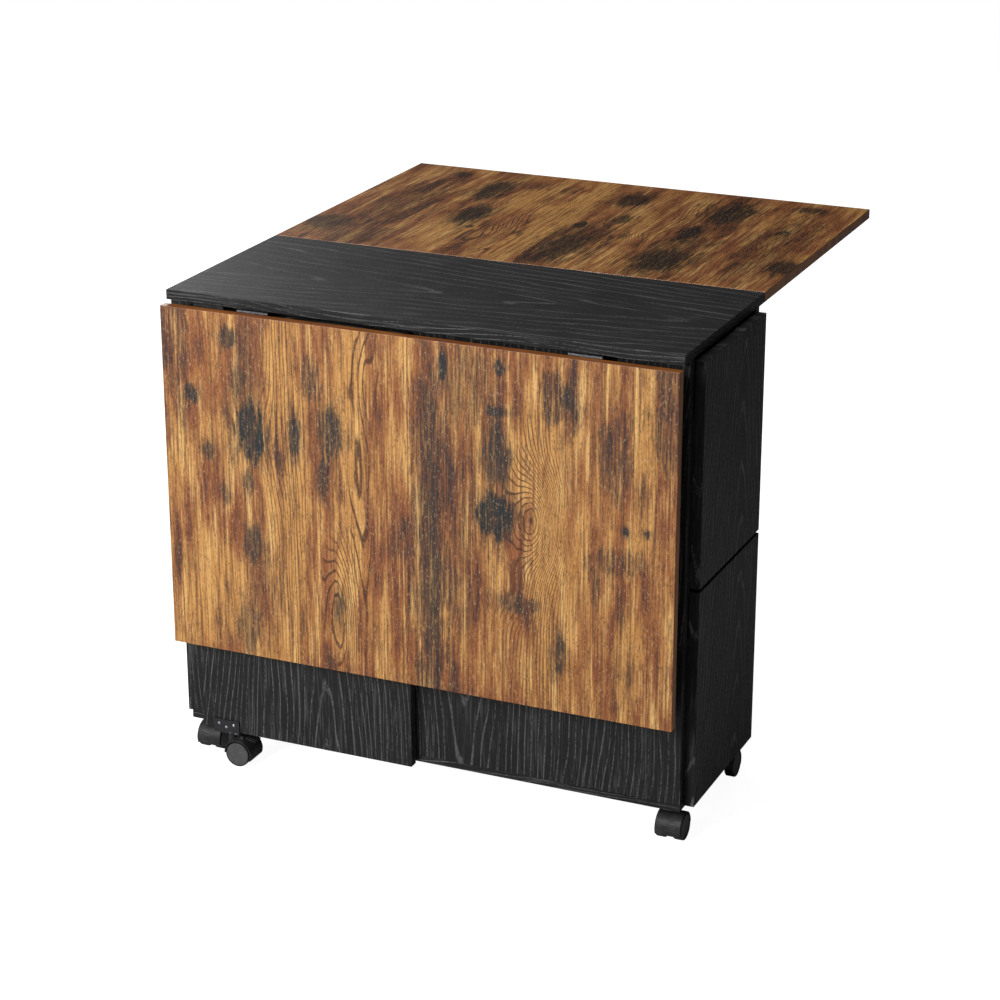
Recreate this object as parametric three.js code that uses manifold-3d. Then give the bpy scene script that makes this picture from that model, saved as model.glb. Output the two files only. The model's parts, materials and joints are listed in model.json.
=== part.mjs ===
// A drop-leaf storage table on casters: a narrow cabinet with a leaf hinged to each long side of
// its top, a gate leg under each leaf and two drawers in each end. The front leaf hangs with its
// gate shut, and the rear leaf is up on its open gate. Millimetres, +Z up, origin on the floor
// under the middle of the whole table, X along the hinges and +Y towards the raised leaf.

import * as THREE from "three";
import { mergeVertices } from "three/addons/utils/BufferGeometryUtils.js";
import Module from "manifold-3d";

const wasm = await Module();
wasm.setup();

// Whole table
const TABLE_HEIGHT = 750;
const TOP_WIDTH = 800;
const TOP_DEPTH = 335;
const LEAF_LENGTH = 528;
const BOARD = 15;
const TOUCH = 0.3;
const OVERLAP = 1;

// Cabinet
const UNDERSIDE = 58;
const PANEL_SETBACK = 24;
const REBATE = 5;

// Drawers
const FRONT_GAP = 5;
const FRONT_TOP_CLEARANCE = 3;
const FRONT_DROP = 4;
const FRONT_STANDOFF = 1;
const DRAWER_WALL = 12;
const DRAWER_WALL_HEIGHT = 240;
const DRAWER_BOTTOM = 5;
const DRAWER_SIDE_CLEARANCE = 3;
const DRAWER_REAR_CLEARANCE = 4;
const RUNNING_CLEARANCE = 0.8;

// Hinges
const KNUCKLE_RADIUS = 3.2;
const HINGE_PLATE = 1.5;
const HINGE_PIN_RADIUS = 1.3;
const HINGE_CLEARANCE = 0.3;
const PIN_END_INSET = 1;
const LEAF_JOINT_GAP = 1;
const LEAF_HINGE_LENGTH = 50;
const LEAF_HINGE_REACH = 24;
const LEAF_HINGE_X = 257;
const GATE_HINGE_LENGTH = 60;
const GATE_HINGE_FIXED_REACH = 22;
const GATE_HINGE_MOVING_REACH = 13;
const GATE_HINGE_HEIGHTS = { upper: 620, lower: 250 };

// Gate legs
const GATE_WIDTH = 352;
const GATE_TOP = 727;
const GATE_BOTTOM = 55;
const GATE_PIN_X = -14;
const GATE_TO_PANEL = 2;
const GLIDE_LENGTH = 50;
const GLIDE_INSET = 10;
const GLIDE_CLEARANCE = 0.4;

// Casters
const WHEEL_RADIUS = 20;
const WHEEL_OUTER = 20.5;
const WHEEL_INNER = 6.5;
const TREAD_ROUNDING = 1.5;
const AXLE_RADIUS = 3;
const TRAIL = 18;
const HOOD_INNER = 21;
const HOOD_OUTER = 23;
const HOOD_HALF_WIDTH = 20;
const HOOD_FROM = -22;
const HOOD_TO = 182;
const WEB_HALF_WIDTH = 4;
const WEB_HUB_RADIUS = 12;
const BOSS_RADIUS = 7;
const BOSS_BOTTOM = 28;
const BOSS_TOP = 49;
const STEM_RADIUS = 4;
const STEM_BOTTOM = 36;
const STEM_CLEARANCE = 0.4;
const RACE_RADIUS = 11;
const CASTER_PLATE = 2.5;
const CASTER_PLATE_SIDE = 38;
const CASTER_INSET_X = 21;
const CASTER_Y = 95;
const BRACKET_WIDTH = 44;
const BRACKET_RISE = 22;
const BRACKET_REACH = 15;
const GATE_CASTER_X = -330;
const GATE_CASTER_TO_PANEL = 1;
const PEDAL_PIVOT = { angle: 80, radius: 25.5 };
const PEDAL_TIP = { angle: 38, radius: 33 };
const PEDAL_HALF_WIDTH = 9.5;
const PEDAL_THICKNESS = 2;
const PEDAL_KNUCKLE = 1.8;
const EAR_WIDTH = 2.5;
const EAR_HALF_LENGTH = 3;
const EAR_BELOW_PIVOT = 4;
const EAR_ABOVE_PIVOT = 2.4;

// Facets
const WHEEL_SIDES = 24;
const ROD_SIDES = 14;
const PIN_SIDES = 8;
const HOOD_STEPS = 12;

// Worked out
const HALF_WIDTH = TOP_WIDTH / 2;
const HALF_DEPTH = TOP_DEPTH / 2;
const TOP_UNDERSIDE = TABLE_HEIGHT - BOARD;
const PANEL_OUTER = HALF_DEPTH - PANEL_SETBACK;
const PANEL_INNER = PANEL_OUTER - BOARD;
const FLOOR_OF_CABINET = UNDERSIDE + BOARD;
const SHELF_MIDDLE = (TOP_UNDERSIDE - FRONT_TOP_CLEARANCE + UNDERSIDE + FRONT_DROP) / 2;
const LEAF_PIN_Y = -(HALF_DEPTH + LEAF_JOINT_GAP / 2);
const LEAF_PIN_Z = TOP_UNDERSIDE - KNUCKLE_RADIUS - TOUCH;
const GATE_BACK = -(PANEL_OUTER + GATE_TO_PANEL);
const GATE_FACE = GATE_BACK - BOARD;
const GATE_PIN_Y = -(PANEL_OUTER + KNUCKLE_RADIUS + TOUCH);
const GATE_END_X = GATE_PIN_X - KNUCKLE_RADIUS - TOUCH;
const GATE_CASTER_Y = -(PANEL_OUTER + GATE_CASTER_TO_PANEL);
const AXLE_Z = WHEEL_RADIUS;
const RIGHT_ANGLE = Math.PI / 2;

// Finishes
const FINISHES = {
  black_laminate: { color: 0x2b2a2a, roughness: 0.55, metalness: 0 },
  rustic_laminate: { color: 0x9c6233, roughness: 0.5, metalness: 0 },
  drawer_board: { color: 0x38342f, roughness: 0.7, metalness: 0 },
  hinge_steel: { color: 0x454548, roughness: 0.4, metalness: 1 },
  caster_steel: { color: 0x3a3a3d, roughness: 0.4, metalness: 1 },
  caster_plastic: { color: 0x303030, roughness: 0.45, metalness: 0 },
};

// A named mesh with a material of its own
function piece(name, geometry, finish) {
  const mesh = new THREE.Mesh(geometry, new THREE.MeshStandardMaterial(FINISHES[finish]));
  mesh.name = name;
  return mesh;
}

// A box given by its limits along each axis
function block([x0, x1], [y0, y1], [z0, z1]) {
  const geometry = new THREE.BoxGeometry(x1 - x0, y1 - y0, z1 - z0);
  geometry.translate((x0 + x1) / 2, (y0 + y1) / 2, (z0 + z1) / 2);
  return geometry;
}

// A rod along an axis, between two places on it
function rod(axis, radius, from, to, sides = ROD_SIDES) {
  const geometry = new THREE.CylinderGeometry(radius, radius, to - from, sides);
  geometry.translate(0, (from + to) / 2, 0);
  if (axis === "x") {
    geometry.rotateZ(-RIGHT_ANGLE);
  }
  if (axis === "z") {
    geometry.rotateX(RIGHT_ANGLE);
  }
  return geometry;
}

// An outline in Y and Z, extruded along X
function extrudeAlongX(shape, from, to) {
  const geometry = new THREE.ExtrudeGeometry(shape, { depth: to - from, bevelEnabled: false });
  const basis = new THREE.Matrix4().makeBasis(
    new THREE.Vector3(0, 1, 0),
    new THREE.Vector3(0, 0, 1),
    new THREE.Vector3(1, 0, 0),
  );
  geometry.applyMatrix4(basis);
  geometry.translate(from, 0, 0);
  return geometry;
}

// An outline in X and Z, extruded along Y
function extrudeAlongY(shape, from, to, curveSegments = HOOD_STEPS) {
  const settings = { depth: to - from, bevelEnabled: false, curveSegments };
  const geometry = new THREE.ExtrudeGeometry(shape, settings);
  geometry.rotateX(RIGHT_ANGLE);
  geometry.translate(0, to, 0);
  return geometry;
}

function polygon(points) {
  return new THREE.Shape(points.map(([x, y]) => new THREE.Vector2(x, y)));
}

// Booleans
function solid(geometry) {
  const bare = geometry.clone();
  bare.deleteAttribute("normal");
  bare.deleteAttribute("uv");
  const merged = mergeVertices(bare);
  const vertProperties = new Float32Array(merged.attributes.position.array);
  const triVerts = new Uint32Array(merged.index.array);
  return new wasm.Manifold(new wasm.Mesh({ numProp: 3, vertProperties, triVerts }));
}

function geometryOf(manifold) {
  const { vertProperties, triVerts } = manifold.getMesh();
  const geometry = new THREE.BufferGeometry();
  geometry.setAttribute("position", new THREE.BufferAttribute(vertProperties, 3));
  geometry.setIndex(new THREE.BufferAttribute(triVerts, 1));
  geometry.computeVertexNormals();
  return geometry;
}

function joined(...geometries) {
  return geometries.map(solid).reduce((whole, part) => whole.add(part));
}

function cutFrom(manifold, ...geometries) {
  return geometries.map(solid).reduce((left, tool) => left.subtract(tool), manifold);
}

// One leaf of a butt hinge. The pin lies along X at the origin, the plate's back is one knuckle
// radius above it, and the plate runs from the pin towards side * Y.
function hingeLeaf(length, reach, side, ownsEnds) {
  const third = length / 3;
  const half = length / 2;
  const knuckles = ownsEnds
    ? [[-half, -third / 2], [third / 2, half]]
    : [[-third / 2 + HINGE_CLEARANCE, third / 2 - HINGE_CLEARANCE]];
  const heights = [KNUCKLE_RADIUS - HINGE_PLATE, KNUCKLE_RADIUS];
  const across = (near, far) => (side > 0 ? [near, far] : [-far, -near]);
  const cutBack = KNUCKLE_RADIUS + HINGE_CLEARANCE;
  const plate = block([-half, half], across(cutBack, reach), heights);
  const tabs = knuckles.map((span) => block(span, across(0, cutBack + HINGE_PLATE), heights));
  const barrels = knuckles.map(([from, to]) => rod("x", KNUCKLE_RADIUS, from, to, PIN_SIDES));
  const leaf = joined(plate, ...tabs, ...barrels);
  if (ownsEnds) {
    const pinEnd = half - PIN_END_INSET;
    return geometryOf(leaf.add(solid(rod("x", HINGE_PIN_RADIUS, -pinEnd, pinEnd, PIN_SIDES))));
  }
  const bore = rod("x", HINGE_PIN_RADIUS + HINGE_CLEARANCE, -half, half, PIN_SIDES);
  return geometryOf(cutFrom(leaf, bore));
}

// A butt hinge turned by an angle from flat
function hinge(name, length, fixedReach, movingReach, angle) {
  const group = new THREE.Group();
  const moving = new THREE.Group();
  moving.rotation.x = angle;
  moving.add(piece(`${name}_moving`, hingeLeaf(length, movingReach, -1, false), "hinge_steel"));
  group.add(piece(`${name}_fixed`, hingeLeaf(length, fixedReach, 1, true), "hinge_steel"));
  group.add(moving);
  return group;
}

// Casters are made on their stem's axis, with the wheels trailing towards +X
function aroundAxle({ angle, radius }) {
  const turn = THREE.MathUtils.degToRad(angle);
  return [TRAIL + radius * Math.cos(turn), AXLE_Z + radius * Math.sin(turn)];
}

function sector(outer, inner) {
  const from = THREE.MathUtils.degToRad(HOOD_FROM);
  const to = THREE.MathUtils.degToRad(HOOD_TO);
  const shape = new THREE.Shape();
  shape.absarc(TRAIL, AXLE_Z, outer, from, to, false);
  if (inner > 0) {
    shape.absarc(TRAIL, AXLE_Z, inner, to, from, true);
  } else {
    shape.lineTo(TRAIL, AXLE_Z);
  }
  return shape;
}

function axleRod(radius, from, to, sides = WHEEL_SIDES) {
  return rod("y", radius, from, to, sides).translate(TRAIL, 0, AXLE_Z);
}

function casterHood(hasPedal) {
  const cover = extrudeAlongY(sector(HOOD_OUTER, HOOD_INNER), -HOOD_HALF_WIDTH, HOOD_HALF_WIDTH);
  const web = extrudeAlongY(sector(HOOD_INNER + OVERLAP, 0), -WEB_HALF_WIDTH, WEB_HALF_WIDTH);
  const hub = axleRod(WEB_HUB_RADIUS, -WEB_HALF_WIDTH, WEB_HALF_WIDTH);
  const boss = rod("z", BOSS_RADIUS, BOSS_BOTTOM, BOSS_TOP);
  const wheelSpaces = [-1, 1].map((side) => {
    const ends = [side * WEB_HALF_WIDTH, side * (BOSS_RADIUS + WEB_HALF_WIDTH)];
    return axleRod(HOOD_INNER, Math.min(...ends), Math.max(...ends));
  });
  const stemRadius = STEM_RADIUS + STEM_CLEARANCE;
  const stemBore = rod("z", stemRadius, STEM_BOTTOM - OVERLAP, BOSS_TOP + OVERLAP);
  const axleBore = axleRod(AXLE_RADIUS + STEM_CLEARANCE, -HOOD_OUTER, HOOD_OUTER, ROD_SIDES);
  let hood = cutFrom(solid(boss), ...wheelSpaces);
  hood = hood.add(solid(cover)).add(solid(web)).add(solid(hub));
  if (hasPedal) {
    const [pivotX, pivotZ] = aroundAxle(PEDAL_PIVOT);
    const near = PEDAL_HALF_WIDTH + TOUCH;
    for (const side of [-1, 1]) {
      const ends = [side * near, side * (near + EAR_WIDTH)].sort((a, b) => a - b);
      const along = [pivotX - EAR_HALF_LENGTH, pivotX + EAR_HALF_LENGTH];
      const ear = block(along, ends, [pivotZ - EAR_BELOW_PIVOT, pivotZ + EAR_ABOVE_PIVOT]);
      hood = hood.add(solid(ear));
    }
    const reach = near + EAR_WIDTH + OVERLAP;
    const pinBore = rod("y", HINGE_PIN_RADIUS + HINGE_CLEARANCE, -reach, reach, PIN_SIDES);
    hood = cutFrom(hood, pinBore.translate(pivotX, 0, pivotZ));
  }
  return geometryOf(cutFrom(hood, stemBore, axleBore));
}

// Two wheels on one axle, turned about Y
function casterWheels() {
  const half = [
    [0, WHEEL_OUTER],
    [WHEEL_RADIUS - TREAD_ROUNDING, WHEEL_OUTER],
    [WHEEL_RADIUS, WHEEL_OUTER - TREAD_ROUNDING],
    [WHEEL_RADIUS, WHEEL_INNER + TREAD_ROUNDING],
    [WHEEL_RADIUS - TREAD_ROUNDING, WHEEL_INNER],
    [AXLE_RADIUS, WHEEL_INNER],
  ];
  const mirrored = half.map(([radius, along]) => [radius, -along]);
  const profile = [...mirrored, ...half.reverse()];
  const points = profile.map(([radius, along]) => new THREE.Vector2(radius, along));
  return new THREE.LatheGeometry(points, WHEEL_SIDES).translate(TRAIL, 0, AXLE_Z);
}

// The brake pedal: a flat tread with a pivot pin in the hood's two ears
function brakePedal() {
  const [pivotX, pivotZ] = aroundAxle(PEDAL_PIVOT);
  const [tipX, tipZ] = aroundAxle(PEDAL_TIP);
  const length = Math.hypot(tipX - pivotX, tipZ - pivotZ);
  const width = [-PEDAL_HALF_WIDTH, PEDAL_HALF_WIDTH];
  const tread = block([0, length], width, [-PEDAL_THICKNESS / 2, PEDAL_THICKNESS / 2]);
  tread.rotateY(-Math.atan2(tipZ - pivotZ, tipX - pivotX));
  const pinEnd = PEDAL_HALF_WIDTH + TOUCH + EAR_WIDTH;
  const pin = rod("y", HINGE_PIN_RADIUS, -pinEnd, pinEnd, PIN_SIDES);
  const pedal = joined(tread, rod("y", PEDAL_KNUCKLE, ...width, PIN_SIDES), pin);
  return geometryOf(pedal).translate(pivotX, 0, pivotZ);
}

// The hood, wheels and pedal, turned about the stem
function casterRunning(name, heading, hasPedal) {
  const group = new THREE.Group();
  group.rotation.z = heading;
  group.add(piece(`${name}_hood`, casterHood(hasPedal), "caster_plastic"));
  group.add(piece(`${name}_wheels`, casterWheels(), "caster_plastic"));
  if (hasPedal) {
    group.add(piece(`${name}_brake_pedal`, brakePedal(), "caster_plastic"));
  }
  return group;
}

function stemAndRace(plateBottom) {
  const stem = rod("z", STEM_RADIUS, STEM_BOTTOM, plateBottom + OVERLAP);
  const race = rod("z", RACE_RADIUS, plateBottom - CASTER_PLATE, plateBottom + OVERLAP);
  return [stem, race];
}

function bodyCaster(name, x, y) {
  const half = CASTER_PLATE_SIDE / 2;
  const plateTop = UNDERSIDE - TOUCH;
  const plateBottom = plateTop - CASTER_PLATE;
  const plate = block([-half, half], [-half, half], [plateBottom, plateTop]);
  const caster = new THREE.Group();
  caster.position.set(x, y, 0);
  const fixing = geometryOf(joined(plate, ...stemAndRace(plateBottom)));
  caster.add(piece(`${name}_plate`, fixing, "caster_steel"));
  caster.add(casterRunning(name, Math.sign(y) * RIGHT_ANGLE, false));
  return caster;
}

function gateCaster(name, heading) {
  const flangeTop = GATE_BOTTOM - TOUCH;
  const flangeBottom = flangeTop - CASTER_PLATE;
  const faceBack = GATE_FACE - TOUCH - GATE_CASTER_Y;
  const faceFront = faceBack - CASTER_PLATE;
  const width = [-BRACKET_WIDTH / 2, BRACKET_WIDTH / 2];
  const flange = block(width, [faceFront, BRACKET_REACH], [flangeBottom, flangeTop]);
  const upright = block(width, [faceFront, faceBack], [flangeBottom, flangeBottom + BRACKET_RISE]);
  const caster = new THREE.Group();
  caster.position.set(GATE_CASTER_X, GATE_CASTER_Y, 0);
  const bracket = geometryOf(joined(flange, upright, ...stemAndRace(flangeBottom)));
  caster.add(piece(`${name}_bracket`, bracket, "caster_steel"));
  caster.add(casterRunning(name, heading, true));
  return caster;
}

// The gate leg, its glide block and its caster, made shut and then swung about its pin
function gateBoard(name) {
  const group = new THREE.Group();
  const free = GATE_END_X - GATE_WIDTH;
  const board = block([free, GATE_END_X], [GATE_FACE, GATE_BACK], [GATE_BOTTOM, GATE_TOP]);
  group.add(piece(name, board, "black_laminate"));
  const glideFrom = free + GLIDE_INSET;
  const glideSpan = [glideFrom, glideFrom + GLIDE_LENGTH];
  const glideHeights = [GATE_TOP + TOUCH, TOP_UNDERSIDE - GLIDE_CLEARANCE];
  const glide = block(glideSpan, [GATE_FACE, GATE_BACK], glideHeights);
  group.add(piece(`${name}_glide`, glide, "caster_plastic"));
  return group;
}

function gate(side, swing, casterHeading) {
  const swung = new THREE.Group();
  swung.position.set(GATE_PIN_X, GATE_PIN_Y, 0);
  swung.rotation.z = swing;
  const shut = new THREE.Group();
  shut.position.set(-GATE_PIN_X, -GATE_PIN_Y, 0);
  shut.add(gateBoard(`${side}_gate`));
  shut.add(gateCaster(`${side}_gate_caster`, casterHeading));
  swung.add(shut);
  return swung;
}

// A gate hinge stands upright, with its fixed plate along X against the panel
function gateHinge(name, height, swing) {
  const lengths = [GATE_HINGE_LENGTH, GATE_HINGE_FIXED_REACH, GATE_HINGE_MOVING_REACH];
  const upright = hinge(name, ...lengths, RIGHT_ANGLE + swing);
  upright.setRotationFromAxisAngle(new THREE.Vector3(1, 1, 1).normalize(), -2 * Math.PI / 3);
  upright.position.set(GATE_PIN_X, GATE_PIN_Y, height);
  return upright;
}

// One long side: the leaf, its hinges, the gate and its hinges, drawn for the front side
function side(name, hingeNames, leafDrop, gateSwing, casterHeading) {
  const group = new THREE.Group();
  const folded = new THREE.Group();
  folded.position.set(0, LEAF_PIN_Y, LEAF_PIN_Z);
  folded.rotation.x = leafDrop;
  const near = -LEAF_JOINT_GAP / 2;
  const lift = KNUCKLE_RADIUS + TOUCH;
  const span = [-HALF_WIDTH, HALF_WIDTH];
  const leaf = block(span, [near - LEAF_LENGTH, near], [lift, lift + BOARD]);
  folded.add(piece(`${name}_leaf`, leaf, "rustic_laminate"));
  group.add(folded);
  hingeNames.forEach((hingeName, index) => {
    const label = `${name}_leaf_hinge_${hingeName}`;
    const lengths = [LEAF_HINGE_LENGTH, LEAF_HINGE_REACH, LEAF_HINGE_REACH];
    const leafHinge = hinge(label, ...lengths, leafDrop);
    leafHinge.position.set((index * 2 - 1) * LEAF_HINGE_X, LEAF_PIN_Y, LEAF_PIN_Z);
    group.add(leafHinge);
  });
  group.add(gate(name, gateSwing, casterHeading));
  for (const [level, height] of Object.entries(GATE_HINGE_HEIGHTS)) {
    group.add(gateHinge(`${name}_gate_hinge_${level}`, height, gateSwing));
  }
  return group;
}

// The fixed boards of the cabinet
function cabinet() {
  const group = new THREE.Group();
  const length = [-HALF_WIDTH, HALF_WIDTH];
  const panelHeights = [FLOOR_OF_CABINET - REBATE + TOUCH, TOP_UNDERSIDE - TOUCH];
  const between = [-PANEL_INNER + TOUCH, PANEL_INNER - TOUCH];
  const top = block(length, [-HALF_DEPTH, HALF_DEPTH], [TOP_UNDERSIDE, TABLE_HEIGHT]);
  group.add(piece("top_board", top, "black_laminate"));
  const front = block(length, [-PANEL_OUTER, -PANEL_INNER], panelHeights);
  group.add(piece("front_panel", front, "black_laminate"));
  const rear = block(length, [PANEL_INNER, PANEL_OUTER], panelHeights);
  group.add(piece("rear_panel", rear, "black_laminate"));
  const step = FLOOR_OF_CABINET - REBATE;
  const inner = PANEL_INNER - TOUCH;
  const rebated = polygon([
    [-PANEL_OUTER, UNDERSIDE],
    [PANEL_OUTER, UNDERSIDE],
    [PANEL_OUTER, step],
    [inner, step],
    [inner, FLOOR_OF_CABINET],
    [-inner, FLOOR_OF_CABINET],
    [-inner, step],
    [-PANEL_OUTER, step],
  ]);
  group.add(piece("bottom_board", extrudeAlongX(rebated, ...length), "black_laminate"));
  const thickness = [-BOARD / 2, BOARD / 2];
  const shelfHeights = thickness.map((offset) => SHELF_MIDDLE + offset);
  const slot = thickness.map((offset) => offset + Math.sign(offset) * TOUCH);
  const slotHeights = slot.map((offset) => SHELF_MIDDLE + offset);
  const frontHalf = [-PANEL_INNER, TOUCH / 2];
  const rearHalf = [-TOUCH / 2, PANEL_INNER];
  const dividerHeights = [FLOOR_OF_CABINET + TOUCH, TOP_UNDERSIDE - TOUCH];
  const divider = solid(block(thickness, between, dividerHeights));
  const dividerSlot = block(slot, frontHalf, slotHeights);
  group.add(piece("centre_divider", geometryOf(cutFrom(divider, dividerSlot)), "black_laminate"));
  const shelf = solid(block(length, between, shelfHeights));
  const shelfSlot = block(slot, rearHalf, slotHeights);
  group.add(piece("shelf", geometryOf(cutFrom(shelf, shelfSlot)), "black_laminate"));
  return group;
}

// A drawer that pulls out towards +X: front, open box and bottom
function drawer(name, floor, frontHeights) {
  const group = new THREE.Group();
  const inside = BOARD / 2 + DRAWER_REAR_CLEARANCE;
  const frontBack = HALF_WIDTH + FRONT_STANDOFF;
  const halfOuter = PANEL_INNER - DRAWER_SIDE_CLEARANCE;
  const halfInner = halfOuter - DRAWER_WALL;
  const frontWidth = PANEL_INNER - TOUCH;
  const front = block([frontBack, frontBack + BOARD], [-frontWidth, frontWidth], frontHeights);
  const base = floor + RUNNING_CLEARANCE;
  const deck = base + DRAWER_BOTTOM;
  const boxEnd = frontBack - TOUCH;
  const bottom = block([inside, boxEnd], [-halfOuter, halfOuter], [base, deck]);
  const wallHeights = [deck + TOUCH, deck + DRAWER_WALL_HEIGHT];
  const outer = block([inside, boxEnd], [-halfOuter, halfOuter], wallHeights);
  const hollowSpan = [inside + DRAWER_WALL, boxEnd - DRAWER_WALL];
  const hollowHeights = [deck - OVERLAP, deck + DRAWER_WALL_HEIGHT + OVERLAP];
  const hollow = block(hollowSpan, [-halfInner, halfInner], hollowHeights);
  group.add(piece(`${name}_front`, front, "black_laminate"));
  group.add(piece(`${name}_box`, geometryOf(cutFrom(solid(outer), hollow)), "drawer_board"));
  group.add(piece(`${name}_bottom`, bottom, "drawer_board"));
  return group;
}

function endDrawers(end) {
  const group = new THREE.Group();
  const top = TOP_UNDERSIDE - FRONT_TOP_CLEARANCE;
  const bottom = UNDERSIDE + FRONT_DROP;
  const upperFront = [SHELF_MIDDLE + FRONT_GAP / 2, top];
  const lowerFront = [bottom, SHELF_MIDDLE - FRONT_GAP / 2];
  group.add(drawer(`${end}_upper_drawer`, SHELF_MIDDLE + BOARD / 2, upperFront));
  group.add(drawer(`${end}_lower_drawer`, FLOOR_OF_CABINET, lowerFront));
  return group;
}

// The whole table, about the middle of its cabinet
const table = new THREE.Group();
table.add(cabinet());
table.add(side("front", ["left", "right"], RIGHT_ANGLE, 0, 0));
const rearSide = side("rear", ["right", "left"], 0, RIGHT_ANGLE, -RIGHT_ANGLE);
rearSide.rotation.z = Math.PI;
table.add(rearSide);
table.add(endDrawers("right"));
const leftEnd = endDrawers("left");
leftEnd.rotation.z = Math.PI;
table.add(leftEnd);
const casterX = HALF_WIDTH - CASTER_INSET_X;
table.add(bodyCaster("front_left_caster", -casterX, -CASTER_Y));
table.add(bodyCaster("front_right_caster", casterX, -CASTER_Y));
table.add(bodyCaster("rear_left_caster", -casterX, CASTER_Y));
table.add(bodyCaster("rear_right_caster", casterX, CASTER_Y));

// Centre the box of the whole table, with one leaf down and one leaf up, on the origin
const frontmost = LEAF_PIN_Y - KNUCKLE_RADIUS - TOUCH - BOARD;
const rearmost = -LEAF_PIN_Y + LEAF_JOINT_GAP / 2 + LEAF_LENGTH;
table.position.y = -(frontmost + rearmost) / 2;

const root = new THREE.Group();
root.add(table);

export default root;
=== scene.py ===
# %% [markdown]
# # A drop-leaf island cart on casters
#
# A narrow black cabinet carries a long rustic-brown leaf on each side. The front leaf hangs and
# the rear leaf is up, resting on its open gate leg. The measured parts come in first as a fixed
# frame, in metres, and every new piece below rides on one of its bodies.

import json
import math
import random

import bmesh
import bpy
from mathutils import Matrix, Vector

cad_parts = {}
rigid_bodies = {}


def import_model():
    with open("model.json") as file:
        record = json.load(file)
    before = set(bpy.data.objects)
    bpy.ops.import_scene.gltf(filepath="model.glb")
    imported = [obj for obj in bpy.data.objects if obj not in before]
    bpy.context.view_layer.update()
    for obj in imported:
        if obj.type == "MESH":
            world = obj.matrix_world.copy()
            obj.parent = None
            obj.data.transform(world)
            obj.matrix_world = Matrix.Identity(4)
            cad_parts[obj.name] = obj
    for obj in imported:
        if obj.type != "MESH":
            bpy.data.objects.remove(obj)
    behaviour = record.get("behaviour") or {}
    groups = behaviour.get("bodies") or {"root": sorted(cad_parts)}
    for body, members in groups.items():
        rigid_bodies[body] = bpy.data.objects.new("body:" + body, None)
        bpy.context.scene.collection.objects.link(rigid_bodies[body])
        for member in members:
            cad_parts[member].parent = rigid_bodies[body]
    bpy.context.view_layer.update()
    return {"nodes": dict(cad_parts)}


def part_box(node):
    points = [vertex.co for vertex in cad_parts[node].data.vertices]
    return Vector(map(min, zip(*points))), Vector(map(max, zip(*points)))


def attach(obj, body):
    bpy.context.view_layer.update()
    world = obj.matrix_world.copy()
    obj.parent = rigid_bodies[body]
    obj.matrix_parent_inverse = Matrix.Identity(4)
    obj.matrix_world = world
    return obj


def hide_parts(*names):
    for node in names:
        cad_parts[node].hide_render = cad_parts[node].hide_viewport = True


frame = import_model()

# %% [markdown]
# ## The few sizes that everything hangs from
#
# Only sizes that a box can't tell, such as a hinge pin's line or a caster's trail, are named
# here, in metres.

# %% Sizes
MM = 0.001
CABINET_Y = -0.255
LEAF_PIN = Vector((0, -0.168, 0.7315))
GATE_PIN = Vector((-0.014, -0.147, 0))
RIGHT_ANGLE = math.radians(90)
chance = random.Random(41)


def side_matrix(side):
    """The front side as it is drawn, or turned half round for the rear side."""
    turn = Matrix.Rotation(math.pi if side == "rear" else 0, 4, "Z")
    return Matrix.Translation((0, CABINET_Y, 0)) @ turn


def about(point, turn):
    """A turn made about a point instead of the origin."""
    return Matrix.Translation(point) @ turn @ Matrix.Translation(-Vector(point))


def gate_matrix(side):
    """Where a gate's own things lie: shut at the front, swung open at the rear."""
    swing = RIGHT_ANGLE if side == "rear" else 0
    return side_matrix(side) @ about(GATE_PIN, Matrix.Rotation(swing, 4, "Z"))


def leaf_matrix(side):
    """Where a leaf's own things lie: hanging at the front, level at the rear."""
    drop = RIGHT_ANGLE if side == "front" else 0
    return side_matrix(side) @ about(LEAF_PIN, Matrix.Rotation(drop, 4, "X"))


# %% [markdown]
# ## A small desk for laying out nodes
#
# Procedural wood needs many small maths nodes. They could be placed by hand in the shader
# editor. In code, a helper that takes either a number or a socket for each input keeps every
# recipe short enough to read as a sentence.

# %% Node desk
def paint(code):
    """A paint-card colour such as 'D9A65F' as the linear colour that shaders use."""
    parts = [int(code[i:i + 2], 16) / 255 for i in (0, 2, 4)]
    return tuple(c / 12.92 if c <= 0.04045 else ((c + 0.055) / 1.055) ** 2.4 for c in parts) + (1,)


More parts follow.
